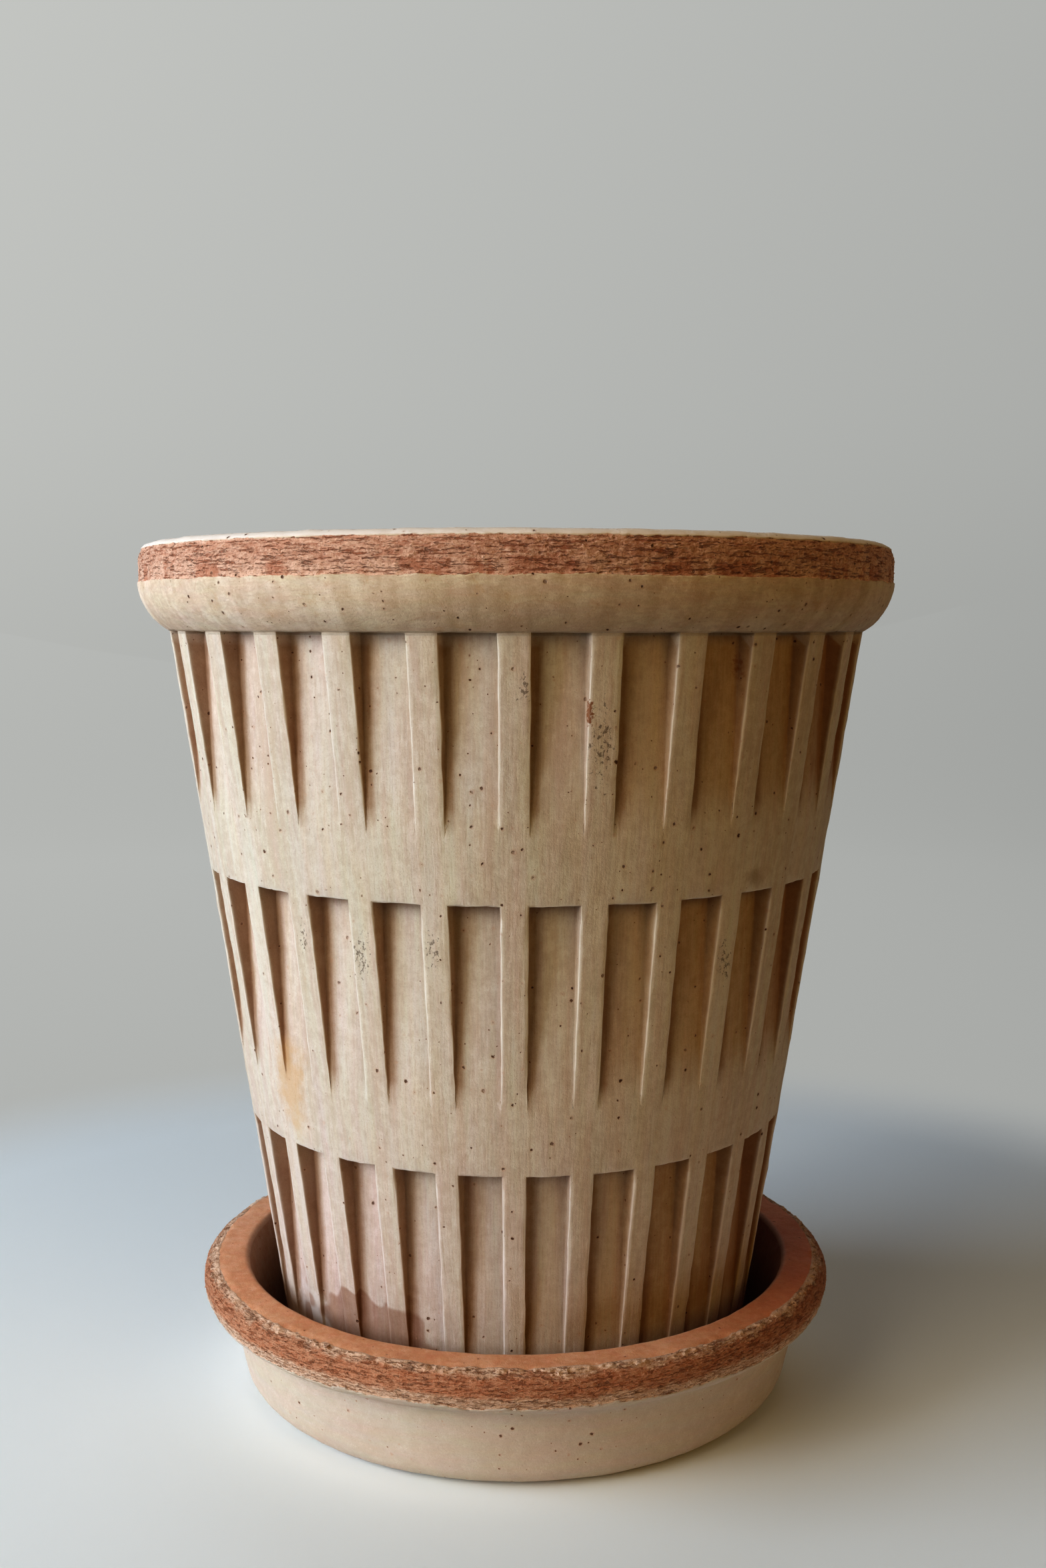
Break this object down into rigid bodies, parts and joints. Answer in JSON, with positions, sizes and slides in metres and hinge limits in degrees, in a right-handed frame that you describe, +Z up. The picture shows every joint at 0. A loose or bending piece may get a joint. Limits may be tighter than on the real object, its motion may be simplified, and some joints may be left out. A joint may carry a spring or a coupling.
{
  "type": "flower pot with saucer",
  "caption": "Tapered unglazed clay flower pot with tiers of wedge-cut flutes under a rolled rim, standing in a clay saucer that catches the water from its drain hole",
  "frame": {"origin": "middle of the saucer's underside", "axes": "+Z up along the axis of pot and saucer, -Y towards the front, where a rib between two flutes faces the viewer"},
  "size_m": [0.21, 0.21, 0.238],
  "materials": {
    "pot_clay": "matt, pale lime-washed terracotta with a bare scraped band round the rim",
    "saucer_clay": "matt, pale lime-washed terracotta with a bare orange rim"
  },
  "bodies": {
    "saucer": {"saucer": "saucer_clay"},
    "pot": {"pot": "pot_clay"}
  },
  "joints": [
    {"name": "pot_lift", "type": "slide", "parent": "saucer", "child": "pot", "axis": [0, 0, 1], "range_m": [0, 0.06]}
  ]
}
